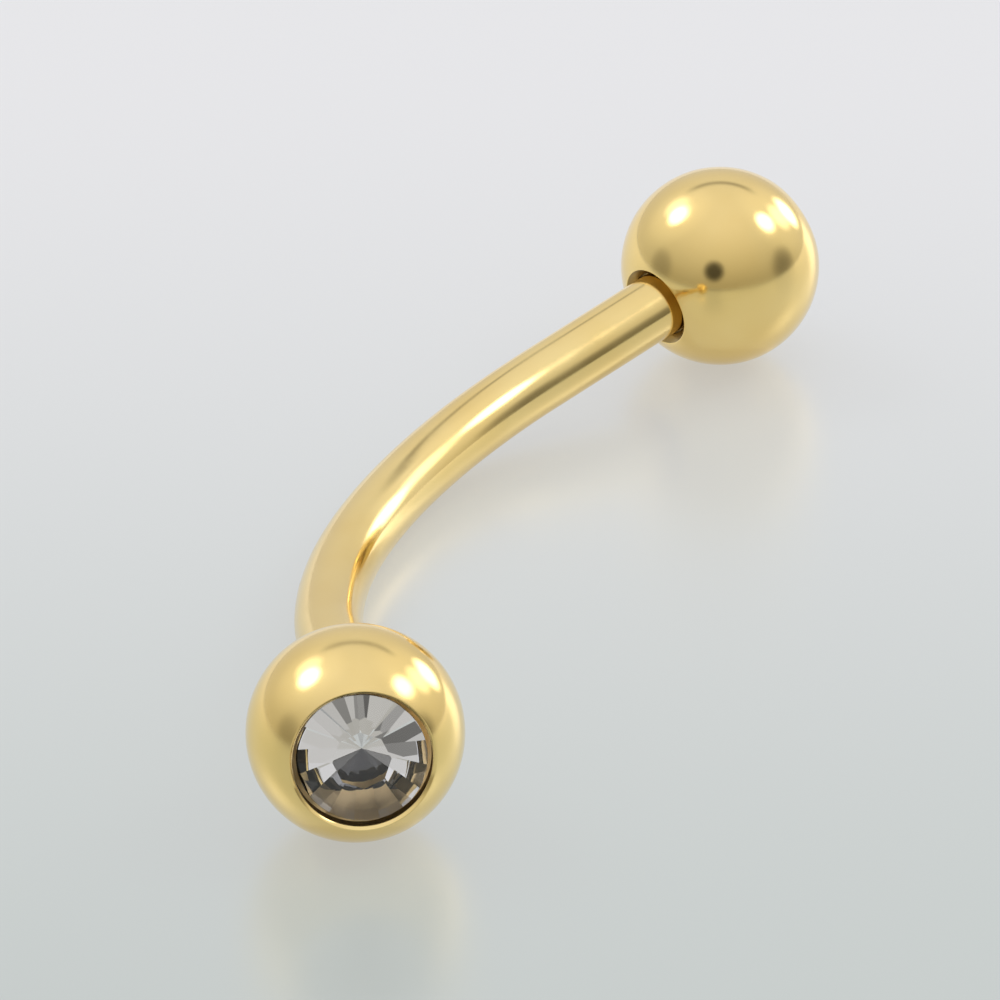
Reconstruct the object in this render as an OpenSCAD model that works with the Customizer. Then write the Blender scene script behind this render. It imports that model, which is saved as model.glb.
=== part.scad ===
// Curved barbell with a jewelled ball on each end, lying on its two balls and
// on the middle of its bend. Millimetres, +Z up, X along the span.

/* [Bar] */
// Diameter of the wire, 16 gauge
wire_d = 1.3; // [1.1:0.05:1.45]
// Straight distance between the two balls
ball_gap = 16; // [14.5:0.5:17.5]
// Angle that the wire is bent through
bend_deg = 57; // [48:1:64]
// Straight stretch from the centre of a ball to the start of the bend
straight_l = 5; // [4.5:0.1:5.5]

/* [Balls] */
// Diameter of each ball
ball_d = 4; // [3.9:0.05:4.4]
// Width of the polished bevel round the stone
bevel_w = 0.06; // [0.03:0.01:0.08]

/* [Thread] */
// Outer diameter of the thread on the bar's posts
thread_d = 1.16; // [1.0:0.02:1.18]
// Height of one turn of the thread
thread_pitch = 0.25; // [0.2:0.05:0.3]
// Depth of the thread
thread_depth = 0.12; // [0.08:0.01:0.14]
// Full turns of thread on a post
thread_turns = 5; // [4:1:5]

/* [Stone] */
// Diameter of the stone at its girdle
stone_d = 2.38; // [2.2:0.02:2.42]
// Width of the table across its corners, as a share of the stone's diameter
table_share = 0.45; // [0.4:0.01:0.6]
// Number of facets round the crown
crown_facets = 8; // [8:1:16]
// Slope of the crown facets
crown_deg = 14; // [10:1:22]
// Number of facets round the pavilion
pavilion_facets = 16; // [8:1:16]
// Slope of the pavilion facets
pavilion_deg = 40; // [37:0.5:42]
// Turn of the facets about the stone's own axis
facet_turn_deg = 38; // [0:1:45]
// Thickness of the girdle
girdle_h = 0.04; // [0.03:0.01:0.06]
// How far the middle of the stone's girdle lies below the gold rim
girdle_drop = 0.12; // [0.1:0.01:0.15]
// How crooked the stone sits
lean_stone_deg = 5.5; // [0:0.5:6]
// Side that the stone leans towards
lean_side_deg = 138; // [0:1:359]

/* [Hidden] */
$fn = 96;
gold = [0.84, 0.67, 0.30];
crystal = [0.86, 0.87, 0.91, 0.6];

wire_r = wire_d / 2;
ball_r = ball_d / 2;
stone_r = stone_d / 2;

// Bend of the wire, in the plane of the bend with the chord along X
half_bend = bend_deg / 2;
half_chord = ball_gap / 2 + ball_r;
bend_r = (half_chord - straight_l * cos(half_bend)) / sin(half_bend);
bulge = straight_l * sin(half_bend) + bend_r * (1 - cos(half_bend));
past_middle_deg = 5;

// Lying on both balls and the bend, the plane of the bend leans down this much
lean_deg = asin((ball_r - wire_r) / bulge);
// The origin is the middle of the part's box, on the surface it lies on
chord_y = (ball_r - wire_r - bulge * cos(lean_deg)) / 2;

// Heights along a ball's own axis, from its centre and outwards
fit_gap = 0.02;
wire_gap = 0.03;
tip_gap = 0.07;
shoulder_z = 0.46 - ball_r;
seat_z = shoulder_z - fit_gap;
tip_chamfer = 0.1;
post_l = thread_turns * thread_pitch + tip_chamfer;
bore_r = thread_d / 2 + fit_gap;
bore_end_z = shoulder_z + post_l + tip_gap;
countersink_w = 0.15;

// Pocket for the stone, its rim and the drilled hole behind the stone
stone_gap = 0.085;
seat_gap = 0.09;
stone_hole_r = 0.55;
culet_gap = 0.08;
pocket_r = stone_r + stone_gap;
bevel_r = pocket_r + bevel_w;
bevel_top_z = sqrt(pow(ball_r, 2) - pow(bevel_r, 2));
rim_z = bevel_top_z - bevel_w;
girdle_z = rim_z - girdle_drop;
over = 1;

// Where the crown meets the table, and where the pavilion ends
table_apothem = stone_r * table_share * cos(180 / crown_facets);
crown_h = (stone_r - table_apothem) * tan(crown_deg);
pavilion_h = stone_r * tan(pavilion_deg);
stone_hole_end_z = girdle_z - girdle_h - pavilion_h - culet_gap;

// Leans the plane of the bend until the part lies on the surface
module lay_down() {
    translate([0, chord_y, ball_r])
        rotate([-lean_deg, 0, 0])
            children();
}

// In the plane of the bend, stands its children on the bar's rear end: origin
// at the ball's centre, Z along the bar's end and outwards
module on_rear_end() {
    translate([half_chord, 0, 0])
        rotate([0, 0, -half_bend])
            rotate([0, 90, 0])
                children();
}

module at_rear_end() {
    lay_down()
        on_rear_end()
            children();
}

// The front end mirrors the rear one
module at_front_end() {
    mirror([1, 0, 0])
        at_rear_end()
            children();
}

// Outline of the thread: in each turn a flat root, a flank and a flat crest
function thread_outline() = [
    for (turn = [0 : thread_turns - 1])
        for (step = [
            [0, thread_depth],
            [thread_pitch / 4, thread_depth],
            [thread_pitch / 2, 0],
            [thread_pitch * 3 / 4, 0]
        ])
            [thread_d / 2 - step[1], turn * thread_pitch + step[0]]
];

// Post that a ball screws onto
module threaded_post() {
    thread_end = thread_turns * thread_pitch;
    root_r = thread_d / 2 - thread_depth;
    translate([0, 0, shoulder_z])
        rotate_extrude()
            polygon(concat(
                [[0, -fit_gap], [root_r, -fit_gap]],
                thread_outline(),
                [[root_r, thread_end], [root_r - tip_chamfer, post_l], [0, post_l]]
            ));
}

// Rear half of the bar and a little more: its post, its straight stretch and
// the bend
module bar_end() {
    threaded_post();
    translate([0, 0, -straight_l])
        cylinder(r = wire_r, h = straight_l + shoulder_z);
    translate([0, -bend_r, -straight_l])
        rotate([-90, 0, 90])
            rotate_extrude(angle = half_bend + past_middle_deg)
                translate([bend_r, 0])
                    circle(r = wire_r);
}

module half_bar() {
    intersection() {
        on_rear_end()
            bar_end();
        translate([0, -half_chord, -half_chord])
            cube(2 * half_chord);
    }
}

module bar() {
    color(gold)
        lay_down() {
            half_bar();
            mirror([1, 0, 0])
                half_bar();
        }
}

// Space for the bar in the back of a ball: the countersunk hole that the wire
// enters, and the narrower bore for the post
module bar_bore() {
    hole_r = wire_r + wire_gap;
    mouth_r = hole_r + countersink_w;
    mouth_z = -sqrt(pow(ball_r, 2) - pow(mouth_r, 2));
    rotate_extrude()
        polygon([
            [0, mouth_z - over],
            [mouth_r + over, mouth_z - over],
            [hole_r, mouth_z + countersink_w],
            [hole_r, seat_z],
            [bore_r, seat_z],
            [bore_r, bore_end_z],
            [0, bore_end_z]
        ]);
}

// Space for the stone in the front of a ball: a drilled hole, a conical seat,
// a straight wall and the bevelled rim
module stone_pocket() {
    wall_bottom_z = girdle_z - girdle_h - seat_gap;
    seat_h = (pocket_r - stone_hole_r) * tan(pavilion_deg);
    rotate_extrude()
        polygon([
            [0, stone_hole_end_z],
            [stone_hole_r, stone_hole_end_z],
            [stone_hole_r, wall_bottom_z - seat_h],
            [pocket_r, wall_bottom_z],
            [pocket_r, rim_z],
            [bevel_r + over, bevel_top_z + over],
            [0, bevel_top_z + over]
        ]);
}

module ball() {
    difference() {
        sphere(r = ball_r);
        bar_bore();
        stone_pocket();
    }
}

// Takes away all that lies beyond a plane: its normal leans from Z by tilt and
// its distance from the origin is reach
module cut_facet(tilt, turn, reach) {
    rotate([0, tilt, turn])
        translate([-ball_d, -ball_d, reach])
            cube([2 * ball_d, 2 * ball_d, ball_d]);
}

// Pyramid that widens from the culet, with a side for each pavilion facet
module pavilion_pyramid() {
    sides = pavilion_facets;
    height = crown_h + girdle_h + pavilion_h + over;
    corner_r = height / tan(pavilion_deg) / cos(180 / sides);
    ring = [
        for (i = [0 : sides - 1])
            [corner_r * cos((i + 0.5) * 360 / sides), corner_r * sin((i + 0.5) * 360 / sides), height]
    ];
    flanks = [for (i = [0 : sides - 1]) [sides, i, (i + 1) % sides]];
    translate([0, 0, -girdle_h - pavilion_h])
        polyhedron(
            points = concat(ring, [[0, 0, 0]]),
            faces = concat(flanks, [[for (i = [sides - 1 : -1 : 0]) i]])
        );
}

// Round stone with a flat table, a facetted crown and a pointed pavilion, its
// origin in the middle of the girdle's upper edge
module stone() {
    crown_reach = table_apothem * sin(crown_deg) + crown_h * cos(crown_deg);
    rotate([0, 0, facet_turn_deg])
        difference() {
            intersection() {
                translate([0, 0, -pavilion_h - girdle_h])
                    cylinder(r = stone_r, h = pavilion_h + girdle_h + crown_h);
                pavilion_pyramid();
            }
            for (i = [0 : crown_facets - 1])
                cut_facet(crown_deg, i * 360 / crown_facets, crown_reach);
        }
}

// Stone in its place in a ball, a little crooked
module set_stone() {
    translate([0, 0, girdle_z])
        rotate(lean_stone_deg, [-sin(lean_side_deg), cos(lean_side_deg), 0])
            stone();
}

module front_ball() {
    color(gold)
        at_front_end()
            ball();
}

module front_crystal() {
    color(crystal)
        at_front_end()
            set_stone();
}

module rear_ball() {
    color(gold)
        at_rear_end()
            ball();
}

module rear_crystal() {
    color(crystal)
        at_rear_end()
            set_stone();
}

bar();
front_ball();
front_crystal();
rear_ball();
rear_crystal();
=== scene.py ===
"""Looks for the snake eyes barbell: polished gold, set crystals, a pale floor and soft light.

The bar, the balls and the stones are built here again as fine meshes, from the same named sizes
as the CAD part and in its frame, so that polished metal and cut stone catch the light smoothly.
"""

import math

import bmesh
import bpy
from mathutils import Matrix, Vector


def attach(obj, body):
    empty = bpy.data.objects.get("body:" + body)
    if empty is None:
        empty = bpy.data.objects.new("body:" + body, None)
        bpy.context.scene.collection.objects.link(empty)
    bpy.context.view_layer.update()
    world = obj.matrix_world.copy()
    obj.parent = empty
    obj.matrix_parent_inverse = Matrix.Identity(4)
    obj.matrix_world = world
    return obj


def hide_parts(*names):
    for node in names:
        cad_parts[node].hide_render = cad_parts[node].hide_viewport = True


MM = 0.001
UP = Vector((0, 0, 1))
WHITE = (1.0, 1.0, 1.0, 1)

# Bar: wire, bend and posts, as in the part
WIRE_R = 0.65 * MM
STRAIGHT_L = 5.0 * MM
HALF_BEND = math.radians(28.5)
THREAD_R = 0.58 * MM
THREAD_DEPTH = 0.12 * MM
THREAD_PITCH = 0.25 * MM
THREAD_TURNS = 5
TIP_CHAMFER = 0.1 * MM

# Ball: heights are along its own axis, from its centre and outwards
BALL_R = 2.0 * MM
HALF_CHORD = 10.0 * MM
SHOULDER_Z = -1.54 * MM
FIT_GAP = 0.02 * MM
WIRE_GAP = 0.03 * MM
TIP_GAP = 0.07 * MM
COUNTERSINK_W = 0.15 * MM
BEVEL_W = 0.06 * MM

# Stone and the pocket that it sits in, a little crooked
STONE_R = 1.19 * MM
STONE_GAP = 0.085 * MM
SEAT_GAP = 0.09 * MM
HOLE_R = 0.55 * MM
CULET_GAP = 0.08 * MM
TABLE_SHARE = 0.45
CROWN_FACETS = 8
CROWN_TILT = math.radians(14)
PAVILION_FACETS = 16
PAVILION_TILT = math.radians(40)
GIRDLE_H = 0.04 * MM
GIRDLE_DROP = 0.12 * MM
FACET_TURN = math.radians(38)
STONE_LEAN = math.radians(5.5)
STONE_LEAN_TURN = math.radians(138)

# Worked out from them
BEND_R = (HALF_CHORD - STRAIGHT_L * math.cos(HALF_BEND)) / math.sin(HALF_BEND)
BULGE = STRAIGHT_L * math.sin(HALF_BEND) + BEND_R * (1 - math.cos(HALF_BEND))
LEAN = math.asin((BALL_R - WIRE_R) / BULGE)
CHORD_Y = (BALL_R - WIRE_R - BULGE * math.cos(LEAN)) / 2
POST_L = THREAD_TURNS * THREAD_PITCH + TIP_CHAMFER
POCKET_R = STONE_R + STONE_GAP
BEVEL_R = POCKET_R + BEVEL_W
RIM_Z = math.sqrt(BALL_R**2 - BEVEL_R**2) - BEVEL_W
GIRDLE_Z = RIM_Z - GIRDLE_DROP
HOLE_END_Z = GIRDLE_Z - GIRDLE_H - STONE_R * math.tan(PAVILION_TILT) - CULET_GAP
MOUTH_R = WIRE_R + WIRE_GAP + COUNTERSINK_W

# How finely things are meshed
WIRE_SIDES = 96
WIRE_RINGS = 160
RINGS_PER_TURN = 20
BALL_SIDES = 192
BALL_RINGS = 128
EDGE_ROUND = 0.012 * MM
EDGE_STEPS = 4
STONE_SIDES = 192
SHARP_ANGLE = math.radians(30)

# Gold: its tints, the spread of its roughness, and its polishing marks. Each noise is in waves a
# metre, then octaves, and a span is the part of a noise that shows.
GOLD_TINTS = ((0.89, 0.655, 0.245, 1), (0.93, 0.715, 0.30, 1))
GOLD_ROUGHNESS = (0.09, 0.19)
HAZE_NOISE = (420.0, 4.0)
HAZE_SPAN = (0.35, 0.70)
SMEAR_NOISE = (900.0, 5.0)
SMEAR_SPAN = (0.3, 0.75)
MARK_NOISE = (2600.0, 6.0)
MARK_DEPTH = 0.01 * MM
MARK_STRENGTH = 0.12

# A ball's finishes, in the order of its materials
OUTSIDE, SEAT, WALL_PAINTED_SHADE, DRILLED_STEEL_AND_SHADE, ENTRY_PAINTED_SHADE = range(5)

# Hidden faces of the balls: the tints that each is mottled between, and the noise that does it
SEAT_TINTS = ((0.88, 0.64, 0.30, 1), (0.97, 0.74, 0.38, 1))
# The pocket's wall round the stone: near black, painted shade in the narrow gap
WALL_PAINTED_SHADE_TINTS = ((0.085, 0.062, 0.034, 1), (0.14, 0.105, 0.06, 1))
# The hole behind the stone: near black, partly bare steel and partly painted shade inside it
DRILLED_STEEL_AND_SHADE_TINTS = ((0.050, 0.048, 0.046, 1), (0.085, 0.082, 0.078, 1))
# The mouth round the bar: darker gold, painted shade in the countersink
ENTRY_PAINTED_SHADE_TINTS = ((0.34, 0.25, 0.10, 1), (0.46, 0.34, 0.15, 1))
MOTTLE_NOISE = (2500.0, 2.0)

# Lead crystal
CRYSTAL_TINT = (0.98, 0.98, 1.0, 1)
CRYSTAL_IOR = 1.6

# Camera, and the front ball's place before it
CAMERA_ELEVATION = math.radians(28.6)
CAMERA_TURN = math.radians(20.7)
FRONT_BALL_AHEAD = 150.0 * MM
FRONT_BALL_RIGHT = -2.63 * MM
FRONT_BALL_DOWN = 4.23 * MM
SENSOR = 36.0
LENS = 296.96
CLIP_START = 1 * MM
CAMERA_RIGHT = Vector((math.sin(CAMERA_TURN), -math.cos(CAMERA_TURN), 0))
CAMERA_LEVEL = Vector((math.cos(CAMERA_TURN), math.sin(CAMERA_TURN), 0))
CAMERA_FORWARD = CAMERA_LEVEL * math.cos(CAMERA_ELEVATION) - UP * math.sin(CAMERA_ELEVATION)

# Floor: its tints near and far and where they meet, its sheen, its own light, and the place right
# of and behind the part round which it is lit best. Its own light is a painted glow, and the pool
# round that place is painted light that brightens its tint and glow
FLOOR_TINTS = ((0.032, 0.077, 0.052, 1), (0.272, 0.272, 0.272, 1))
FLOOR_FADE = (-20 * MM, 25 * MM)
FLOOR_ROUGHNESS = 0.3
FLOOR_IOR = 2.2
FLOOR_GLOW = 0.42
FLOOR_LIT_MIDDLE = (26 * MM, 60 * MM)
FLOOR_LIT_RADII = (76 * MM, 135 * MM)
FLOOR_UNLIT_SHARE = 0.5
FLOOR_HALF_WIDTH = 1000 * MM
FLOOR_DROP = 0.002 * MM

# The studio round the part: how bright it is overhead, at the sides low down, and how far the
# wall behind the part makes up for the height. The spans are heights and depths, from -1 to 1.
OPEN_LIGHT = 0.93
SIDE_LIGHT = 0.44
WALL_SHARE = 0.56
HEIGHT_SPAN = (0.08, 0.97)
DEPTH_SPAN = (-0.6, 0.8)
OPEN_TINT = (0.99, 1.0, 1.10, 1)
SIDE_TINT = (1.0, 0.97, 0.86, 1)

# Soft spots in it: degrees right of the camera's forward, degrees up, and the radii in degrees
# inside which a spot is full and outside which it is gone. A lamp's last number is added to the
# light, and a dark thing's is what the light is multiplied by.
LAMPS = (
    (-69, 47, 5, 13, 3.4),
    (-52, 42, 2, 14, 0.8),
    (-64, 45, 4, 38, 0.15),
    (46, 16, 4, 13, 3.2),
    (60, 29, 2, 14, 1.1),
    (81, 45, 4, 13, 3.2),
    (62, 32, 6, 42, 0.14),
)
DARK_THINGS = (
    (-171, 20, 5, 15, 0.14),
    (101, 7, 3, 20, 0.42),
    (-104, 8, 3, 19, 0.66),
)

# A darker seam high on the wall behind the part: the place and the radii of its middle, as for a
# spot, the degrees up of its lower edge, middle and upper edge, and what it multiplies the light by
SEAM_MIDDLE = (2, 40)
SEAM_RADII = (14, 28)
SEAM_HEIGHTS = (34, 40, 46)
SEAM_SHADE = 0.50


# Node and mesh helpers


def add_node(tree, kind, **values):
    node = tree.nodes.new(kind)
    for name, value in values.items():
        setattr(node, name, value)
    return node


def feed(tree, socket, value):
    """Links a socket to an output, or sets it to a number or a vector."""
    if isinstance(value, bpy.types.NodeSocket):
        tree.links.new(value, socket)
    else:
        socket.default_value = value


def math_node(tree, operation, first, second):
    node = add_node(tree, "ShaderNodeMath", operation=operation)
    feed(tree, node.inputs[0], first)
    feed(tree, node.inputs[1], second)
    return node.outputs[0]


def vector_node(tree, operation, first, second):
    """A number worked out from two vectors."""
    node = add_node(tree, "ShaderNodeVectorMath", operation=operation)
    feed(tree, node.inputs[0], first)
    feed(tree, node.inputs[1], second)
    return node.outputs["Value"]


def map_range(tree, value, source, target, smooth=True):
    """Maps a value from the source range to the target range, clamped to it."""
    kind = "SMOOTHSTEP" if smooth else "LINEAR"
    node = add_node(tree, "ShaderNodeMapRange", interpolation_type=kind)
    feed(tree, node.inputs["Value"], value)
    node.inputs["From Min"].default_value, node.inputs["From Max"].default_value = source
    node.inputs["To Min"].default_value, node.inputs["To Max"].default_value = target
    return node.outputs["Result"]


def noise(tree, vector, scale, detail):
    node = add_node(tree, "ShaderNodeTexNoise")
    feed(tree, node.inputs["Vector"], vector)
    node.inputs["Scale"].default_value = scale
    node.inputs["Detail"].default_value = detail
    return node.outputs["Fac"]


def blend(tree, factor, tints, span=(0.0, 1.0)):
    """A colour between two tints, as the factor goes over the span."""
    node = add_node(tree, "ShaderNodeValToRGB")
    for element, tint, place in zip(node.color_ramp.elements, tints, span):
        element.position = place
        element.color = tint
    tree.links.new(factor, node.inputs["Fac"])
    return node.outputs["Color"]


def new_material(name, **values):
    """A Principled material with its plain values set on the shader's own sockets."""
    material = bpy.data.materials.new(name)
    material.use_nodes = True
    shader = material.node_tree.nodes["Principled BSDF"]
    for socket, value in values.items():
        shader.inputs[socket.replace("_", " ")].default_value = value
    return material, material.node_tree, shader


def link_mesh(name, bm, materials, smooth=True):
    """Makes an object of a closed bmesh, with its normals turned outwards."""
    bm.normal_update()
    bmesh.ops.recalc_face_normals(bm, faces=bm.faces)
    if bm.calc_volume(signed=True) < 0:
        bmesh.ops.reverse_faces(bm, faces=bm.faces)
    mesh = bpy.data.meshes.new(name)
    bm.to_mesh(mesh)
    bm.free()
    for material in materials:
        mesh.materials.append(material)
    if smooth:
        mesh.shade_smooth()
        mesh.set_sharp_from_angle(angle=SHARP_ANGLE)
    thing = bpy.data.objects.new(name, mesh)
    bpy.context.scene.collection.objects.link(thing)
    return thing


def join_rings(bm, rings):
    """Closes a row of rings into one surface. A ring of one vertex is an end on the axis."""
    for lower, upper in zip(rings, rings[1:]):
        sides = max(len(lower), len(upper))
        for i in range(sides):
            j = (i + 1) % sides
            if len(lower) == 1:
                corners = (lower[0], upper[j], upper[i])
            elif len(upper) == 1:
                corners = (lower[i], lower[j], upper[0])
            else:
                corners = (lower[i], lower[j], upper[j], upper[i])
            bm.faces.new(corners)


# Materials


def gold_material():
    """Mirror-polished gold plating, with faint handling haze and hairline polishing marks."""
    material, tree, shader = new_material("gold", Metallic=1.0)
    place = add_node(tree, "ShaderNodeTexCoord").outputs["Object"]

    haze = noise(tree, place, *HAZE_NOISE)
    tree.links.new(blend(tree, haze, GOLD_TINTS, HAZE_SPAN), shader.inputs["Base Color"])

    smears = noise(tree, place, *SMEAR_NOISE)
    rough = map_range(tree, smears, SMEAR_SPAN, GOLD_ROUGHNESS)
    tree.links.new(rough, shader.inputs["Roughness"])

    bump = add_node(tree, "ShaderNodeBump")
    bump.inputs["Strength"].default_value = MARK_STRENGTH
    bump.inputs["Distance"].default_value = MARK_DEPTH
    tree.links.new(noise(tree, place, *MARK_NOISE), bump.inputs["Height"])
    tree.links.new(bump.outputs["Normal"], shader.inputs["Normal"])
    return material


def crystal_material():
    return new_material(
        "crystal",
        Base_Color=CRYSTAL_TINT,
        Roughness=0.0,
        IOR=CRYSTAL_IOR,
        Transmission_Weight=1.0,
    )[0]


def dull_material(name, tints, **values):
    """Unpolished face inside a ball, mottled between two tints, some of which are painted shade."""
    material, tree, shader = new_material(name, **values)
    place = add_node(tree, "ShaderNodeTexCoord").outputs["Object"]
    mottle = noise(tree, place, *MOTTLE_NOISE)
    tree.links.new(blend(tree, mottle, tints), shader.inputs["Base Color"])
    return material


def floor_material():
    """Plain pale board with a sheen, paler further away, with a little painted glow in place of
    light from beneath, and painted light brightening its tint and glow round one place.
    """
    material, tree, shader = new_material(
        "floor", Roughness=FLOOR_ROUGHNESS, IOR=FLOOR_IOR, Emission_Color=WHITE
    )
    place = add_node(tree, "ShaderNodeTexCoord").outputs["Object"]

    along = vector_node(tree, "DOT_PRODUCT", place, CAMERA_LEVEL)
    tint = blend(tree, map_range(tree, along, FLOOR_FADE, (0.0, 1.0)), FLOOR_TINTS)

    # Painted pool of light: the tint and the glow are full round this place and fall to a share
    # further out
    right, behind = FLOOR_LIT_MIDDLE
    lit_middle = CAMERA_RIGHT * right + CAMERA_LEVEL * behind
    away = vector_node(tree, "DISTANCE", place, lit_middle)
    lit = map_range(tree, away, FLOOR_LIT_RADII, (1.0, FLOOR_UNLIT_SHARE))

    shaded = add_node(tree, "ShaderNodeVectorMath", operation="SCALE")
    tree.links.new(tint, shaded.inputs[0])
    tree.links.new(lit, shaded.inputs["Scale"])
    tree.links.new(shaded.outputs["Vector"], shader.inputs["Base Color"])
    # Painted glow: the floor gives off light of its own, though it is no lamp
    glow = math_node(tree, "MULTIPLY", lit, FLOOR_GLOW)
    tree.links.new(glow, shader.inputs["Emission Strength"])
    return material


# The bar


def bar_station(s):
    """Centre and outward normal at arc length s from the bar's middle, in the bend's plane."""
    turned = max(-HALF_BEND, min(HALF_BEND, s / BEND_R))
    past = s - turned * BEND_R
    x = BEND_R * math.sin(turned) + past * math.cos(turned)
    y = BULGE - BEND_R * (1 - math.cos(turned)) - past * math.sin(turned)
    return Vector((x, y, 0)), Vector((math.sin(turned), math.cos(turned), 0))


def thread_radius(out, angle):
    """Radius of a post at a height out from its shoulder: a right-handed screw thread.

    The root, each flank and the crest take a quarter of a turn.
    """
    phase = (out / THREAD_PITCH - angle / math.tau) % 1.0
    ramp = min(max(abs(phase - 0.5) * 4 - 0.5, 0.0), 1.0)
    crest = THREAD_R - THREAD_DEPTH * (1 - ramp)
    chamfer = THREAD_R - THREAD_DEPTH - TIP_CHAMFER + (POST_L - out)
    return min(crest, chamfer)


def bar_rings():
    """Rings from the bar's middle to one end: each one's arc length, and its radius by angle."""
    shoulder = BEND_R * HALF_BEND + STRAIGHT_L + SHOULDER_Z
    rings = [(shoulder * i / WIRE_RINGS, lambda a: WIRE_R) for i in range(WIRE_RINGS)]
    rings.append((shoulder - EDGE_ROUND, lambda a: WIRE_R))
    rings.append((shoulder, lambda a: WIRE_R - EDGE_ROUND))
    steps = round(POST_L / THREAD_PITCH * RINGS_PER_TURN)
    for i in range(steps + 1):
        out = POST_L * i / steps
        rings.append((shoulder + out, lambda a, out=out: thread_radius(out, a)))
    return rings


def make_bar(material):
    bm = bmesh.new()
    half = bar_rings()
    stations = [(-s, radius, -1) for s, radius in reversed(half)]
    stations += [(s, radius, 1) for s, radius in half[1:]]
    rings = []
    for s, radius, side in stations:
        centre, outward = bar_station(s)
        ring = []
        for i in range(WIRE_SIDES):
            angle = math.tau * i / WIRE_SIDES
            spoke = UP * math.cos(angle) + outward * math.sin(angle)
            ring.append(bm.verts.new(centre + spoke * radius(angle * side)))
        rings.append(ring)
    first = bm.verts.new(bar_station(stations[0][0])[0])
    last = bm.verts.new(bar_station(stations[-1][0])[0])
    join_rings(bm, [[first], *rings, [last]])
    bm.transform(lay_down())
    return link_mesh("bar_gold", bm, [material])


# Places of the balls and stones


def lay_down():
    """Leans the plane of the bend until the part lies on the floor."""
    return Matrix.Translation((0, CHORD_Y, BALL_R)) @ Matrix.Rotation(-LEAN, 4, "X")


def at_rear_end():
    """From a ball's own axes to the frame: its centre, and Z along the bar's end and outwards."""
    turn = Matrix.Rotation(-HALF_BEND, 4, "Z") @ Matrix.Rotation(math.pi / 2, 4, "Y")
    return lay_down() @ Matrix.Translation((HALF_CHORD, 0, 0)) @ turn


def at_front_end():
    """The front end mirrors the rear one."""
    return Matrix.Diagonal((-1, 1, 1, 1)) @ at_rear_end()


# A ball


def lathe(profile, sides):
    """Turns (radius, height) pairs about Z into a closed bmesh. Its ends lie on the axis."""
    bm = bmesh.new()
    rings = []
    for radius, height in profile:
        if radius == 0:
            rings.append([bm.verts.new((0, 0, height))])
            continue
        ring = []
        for i in range(sides):
            turn = math.tau * i / sides
            ring.append(bm.verts.new((radius * math.cos(turn), radius * math.sin(turn), height)))
        rings.append(ring)
    join_rings(bm, rings)
    return bm


def rounded(profile, corners):
    """Rounds the named corners of a profile with a small arc each."""
    points = []
    for i, point in enumerate(profile):
        here = Vector(point)
        if i not in corners:
            points.append(here)
            continue
        before = (Vector(profile[i - 1]) - here).normalized() * EDGE_ROUND
        after = (Vector(profile[i + 1]) - here).normalized() * EDGE_ROUND
        for k in range(EDGE_STEPS + 1):
            t = k / EDGE_STEPS
            points.append(here + before * (1 - t) ** 2 + after * t**2)
    return points


def ball_profile():
    """Half section of a ball: the stone's hole, seat, wall and rim, the outside, then the bore."""
    wall_bottom = GIRDLE_Z - GIRDLE_H - SEAT_GAP
    hole_top = wall_bottom - (POCKET_R - HOLE_R) * math.tan(PAVILION_TILT)
    hole = [(0, HOLE_END_Z), (HOLE_R, HOLE_END_Z), (HOLE_R, hole_top)]
    front = hole + [(POCKET_R, wall_bottom), (POCKET_R, RIM_Z), (BEVEL_R, RIM_Z + BEVEL_W)]

    start = math.asin(BEVEL_R / BALL_R)
    end = math.pi - math.asin(MOUTH_R / BALL_R)
    outside = []
    for i in range(1, BALL_RINGS):
        tilt = start + (end - start) * i / BALL_RINGS
        outside.append((BALL_R * math.sin(tilt), BALL_R * math.cos(tilt)))

    mouth_z = -math.sqrt(BALL_R**2 - MOUTH_R**2)
    seat_z = SHOULDER_Z - FIT_GAP
    bore_r = THREAD_R + FIT_GAP
    bore_end = SHOULDER_Z + POST_L + TIP_GAP
    back = [
        (MOUTH_R, mouth_z),
        (WIRE_R + WIRE_GAP, mouth_z + COUNTERSINK_W),
        (WIRE_R + WIRE_GAP, seat_z),
        (bore_r, seat_z),
        (bore_r, bore_end),
        (0, bore_end),
    ]

    rim_corners = {len(front) - 2, len(front) - 1}
    mouth_corners = {len(front) + len(outside), len(front) + len(outside) + 1}
    return rounded(front + outside + back, rim_corners | mouth_corners)


def ball_finish(middle):
    """Finish of a ball's face, by where its middle is from the ball's own axis."""
    out = math.hypot(middle.x, middle.y)
    if HOLE_END_Z - EDGE_ROUND < middle.z < RIM_Z and out < POCKET_R:
        if out > POCKET_R - EDGE_ROUND:
            # The pocket's wall, darkened with painted shade
            return WALL_PAINTED_SHADE
        # Else the seat is unpolished gold, and the hole behind the stone is bare steel with painted
        # shade
        return SEAT if out > HOLE_R else DRILLED_STEEL_AND_SHADE
    # The mouth and countersink round the bar, darkened with painted shade
    if middle.z < SHOULDER_Z and out < MOUTH_R - EDGE_ROUND:
        return ENTRY_PAINTED_SHADE
    return OUTSIDE


def make_ball(name, place, materials):
    bm = lathe(ball_profile(), BALL_SIDES)
    for face in bm.faces:
        face.material_index = ball_finish(face.calc_center_median())
    bm.transform(place)
    return link_mesh(name, bm, materials)


# A stone


def cut_away(bm, normal, distance):
    """Takes away all beyond a plane that far from the origin, and closes the cut with a facet."""
    everything = bm.verts[:] + bm.edges[:] + bm.faces[:]
    made = bmesh.ops.bisect_plane(
        bm, geom=everything, plane_co=normal * distance, plane_no=normal, clear_outer=True
    )
    rim = [part for part in made["geom_cut"] if isinstance(part, bmesh.types.BMEdge)]
    bmesh.ops.contextual_create(bm, geom=rim)


def leaning(tilt, turn):
    """Unit vector that leans from Z by tilt, towards turn."""
    out = math.sin(tilt)
    return Vector((out * math.cos(turn), out * math.sin(turn), math.cos(tilt)))


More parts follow.
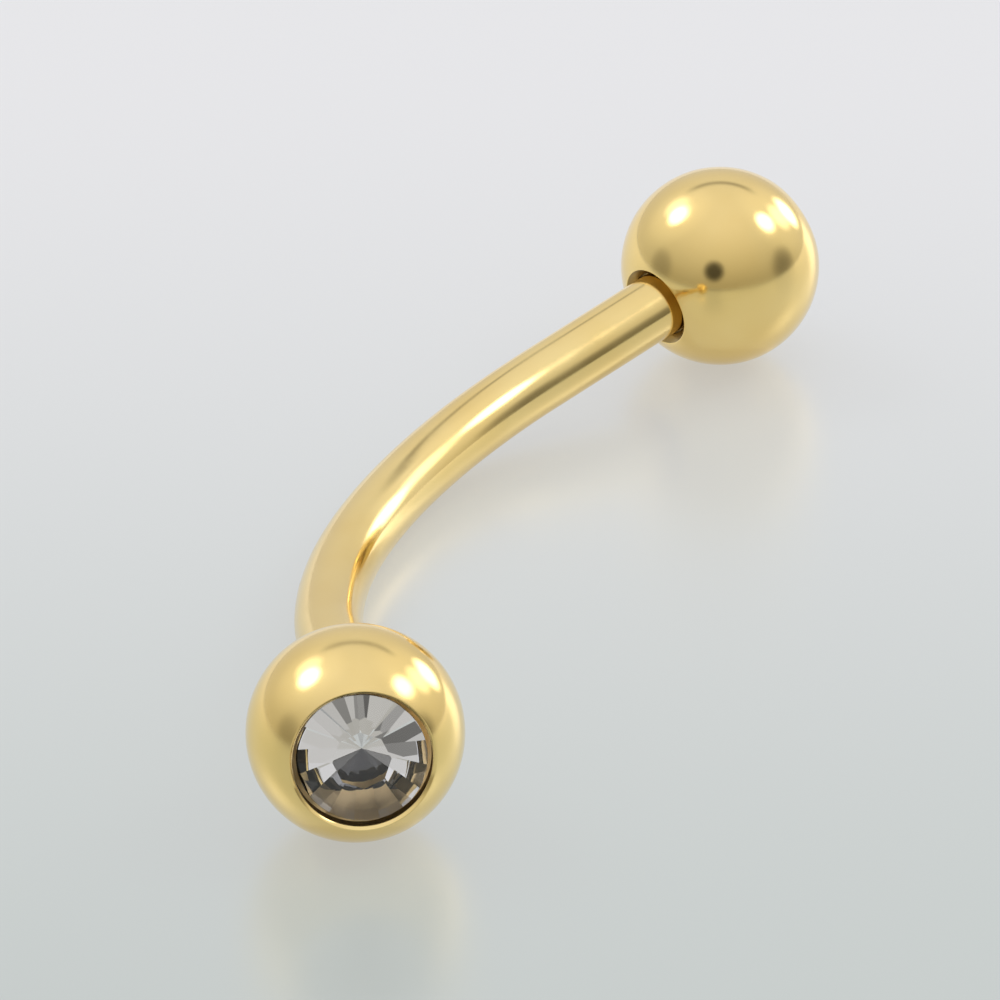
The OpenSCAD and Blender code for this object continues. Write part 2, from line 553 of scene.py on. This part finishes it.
def make_stone(name, place, material):
    """Round stone with a flat table, a facetted crown and a pointed, facetted pavilion.

    It is cut from a cylinder that is longer than the stone both ways.
    """
    apothem = STONE_R * TABLE_SHARE * math.cos(math.pi / CROWN_FACETS)
    crown_h = (STONE_R - apothem) * math.tan(CROWN_TILT)
    depth = GIRDLE_H + STONE_R * math.tan(PAVILION_TILT)

    bm = bmesh.new()
    bmesh.ops.create_cone(
        bm, cap_ends=True, segments=STONE_SIDES, radius1=STONE_R, radius2=STONE_R, depth=4 * depth
    )
    cut_away(bm, UP, crown_h)
    crown_reach = apothem * math.sin(CROWN_TILT) + crown_h * math.cos(CROWN_TILT)
    for i in range(CROWN_FACETS):
        cut_away(bm, leaning(CROWN_TILT, FACET_TURN + math.tau * i / CROWN_FACETS), crown_reach)
    pavilion_reach = depth * math.cos(PAVILION_TILT)
    for i in range(PAVILION_FACETS):
        turn = FACET_TURN + math.tau * i / PAVILION_FACETS
        cut_away(bm, leaning(math.pi - PAVILION_TILT, turn), pavilion_reach)

    hinge = Vector((-math.sin(STONE_LEAN_TURN), math.cos(STONE_LEAN_TURN), 0))
    lean = Matrix.Rotation(STONE_LEAN, 4, hinge)
    bm.transform(place @ Matrix.Translation((0, 0, GIRDLE_Z)) @ lean)
    return link_mesh(name, bm, [material], smooth=False)


# Floor, light and camera


def make_floor():
    bm = bmesh.new()
    bmesh.ops.create_grid(bm, x_segments=1, y_segments=1, size=FLOOR_HALF_WIDTH)
    floor = link_mesh("floor", bm, [floor_material()])
    floor.location.z = -FLOOR_DROP


def toward(azimuth, elevation):
    """Direction in the world: degrees right of the camera's forward, and above the level."""
    a, e = math.radians(azimuth), math.radians(elevation)
    level = CAMERA_LEVEL * math.cos(a) + CAMERA_RIGHT * math.sin(a)
    return level * math.cos(e) + UP * math.sin(e)


def light_the_studio():
    world = bpy.data.worlds.new("studio")
    bpy.context.scene.world = world
    world.use_nodes = True
    tree = world.node_tree
    background = tree.nodes["Background"]
    seen = add_node(tree, "ShaderNodeTexCoord").outputs["Generated"]

    def facing(direction):
        return vector_node(tree, "DOT_PRODUCT", seen, direction)

    def spot(azimuth, elevation, core, edge, outside, inside):
        span = (math.cos(math.radians(edge)), math.cos(math.radians(core)))
        return map_range(tree, facing(toward(azimuth, elevation)), span, (outside, inside))

    high = map_range(tree, facing(UP), HEIGHT_SPAN, (0.0, 1.0), smooth=False)
    wall = map_range(tree, facing(CAMERA_LEVEL), DEPTH_SPAN, (1.0, 1.0 - WALL_SHARE))
    shut = math_node(tree, "MULTIPLY", math_node(tree, "SUBTRACT", 1.0, high), wall)
    light = map_range(tree, shut, (0.0, 1.0), (OPEN_LIGHT, SIDE_LIGHT), smooth=False)

    for azimuth, elevation, core, edge, shade in DARK_THINGS:
        dark = spot(azimuth, elevation, core, edge, 1.0, shade)
        light = math_node(tree, "MULTIPLY", light, dark)

    low, middle, top = (math.sin(math.radians(angle)) for angle in SEAM_HEIGHTS)
    rise = map_range(tree, facing(UP), (low, middle), (0.0, 1.0))
    fall = map_range(tree, facing(UP), (top, middle), (0.0, 1.0))
    band = math_node(tree, "MULTIPLY", rise, fall)
    length = spot(*SEAM_MIDDLE, *SEAM_RADII, 0.0, 1.0 - SEAM_SHADE)
    seam = math_node(tree, "SUBTRACT", 1.0, math_node(tree, "MULTIPLY", band, length))
    light = math_node(tree, "MULTIPLY", light, seam)

    for azimuth, elevation, core, edge, strength in LAMPS:
        lamp = spot(azimuth, elevation, core, edge, 0.0, strength)
        light = math_node(tree, "ADD", light, lamp)
    tree.links.new(light, background.inputs["Strength"])
    tree.links.new(blend(tree, shut, (OPEN_TINT, SIDE_TINT)), background.inputs["Color"])


def place_camera(front_centre):
    data = bpy.data.cameras.new("camera")
    data.sensor_width = SENSOR
    data.lens = LENS
    data.clip_start = CLIP_START
    camera = bpy.data.objects.new("camera", data)
    bpy.context.scene.collection.objects.link(camera)
    bpy.context.scene.camera = camera
    up = CAMERA_RIGHT.cross(CAMERA_FORWARD)
    offset = CAMERA_FORWARD * FRONT_BALL_AHEAD + CAMERA_RIGHT * FRONT_BALL_RIGHT
    offset -= up * FRONT_BALL_DOWN
    axes = Matrix((CAMERA_RIGHT, up, -CAMERA_FORWARD)).transposed().to_4x4()
    camera.matrix_world = Matrix.Translation(front_centre - offset) @ axes


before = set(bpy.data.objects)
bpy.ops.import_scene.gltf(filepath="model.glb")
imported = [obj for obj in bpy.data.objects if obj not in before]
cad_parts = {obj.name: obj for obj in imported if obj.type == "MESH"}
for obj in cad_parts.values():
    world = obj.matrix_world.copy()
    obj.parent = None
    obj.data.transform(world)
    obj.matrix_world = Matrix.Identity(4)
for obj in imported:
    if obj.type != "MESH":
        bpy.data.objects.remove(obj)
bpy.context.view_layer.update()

gold = gold_material()
ball_finishes = [
    gold,
    dull_material("seat", SEAT_TINTS, Metallic=1.0, Roughness=0.3),
    # The wall's near black is painted shade in the narrow gap round the stone
    dull_material("wall", WALL_PAINTED_SHADE_TINTS, Metallic=1.0, Roughness=0.35),
    # The hole behind the stone: bare steel, darkened with painted shade
    dull_material("drilled", DRILLED_STEEL_AND_SHADE_TINTS, Roughness=0.6),
    # The mouth round the bar: darker gold, painted shade in the countersink
    dull_material("entry_painted_shade", ENTRY_PAINTED_SHADE_TINTS, Metallic=1.0, Roughness=0.3),
]
crystal = crystal_material()
front, rear = at_front_end(), at_rear_end()

pieces = [
    (make_bar(gold), "bar", "bar", "gold"),
    (make_ball("front_ball_gold", front, ball_finishes), "front_ball", "front_ball", "gold"),
    (make_stone("front_crystal_cut", front, crystal), "front_ball", "front_crystal", "crystal"),
    (make_ball("rear_ball_gold", rear, ball_finishes), "rear_ball", "rear_ball", "gold"),
    (make_stone("rear_crystal_cut", rear, crystal), "rear_ball", "rear_crystal", "crystal"),
]
for piece, body, cad_node, finish in pieces:
    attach(piece, body)
    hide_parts(cad_node)

make_floor()
light_the_studio()
place_camera(front.translation)
bpy.context.scene.view_settings.view_transform = "Standard"
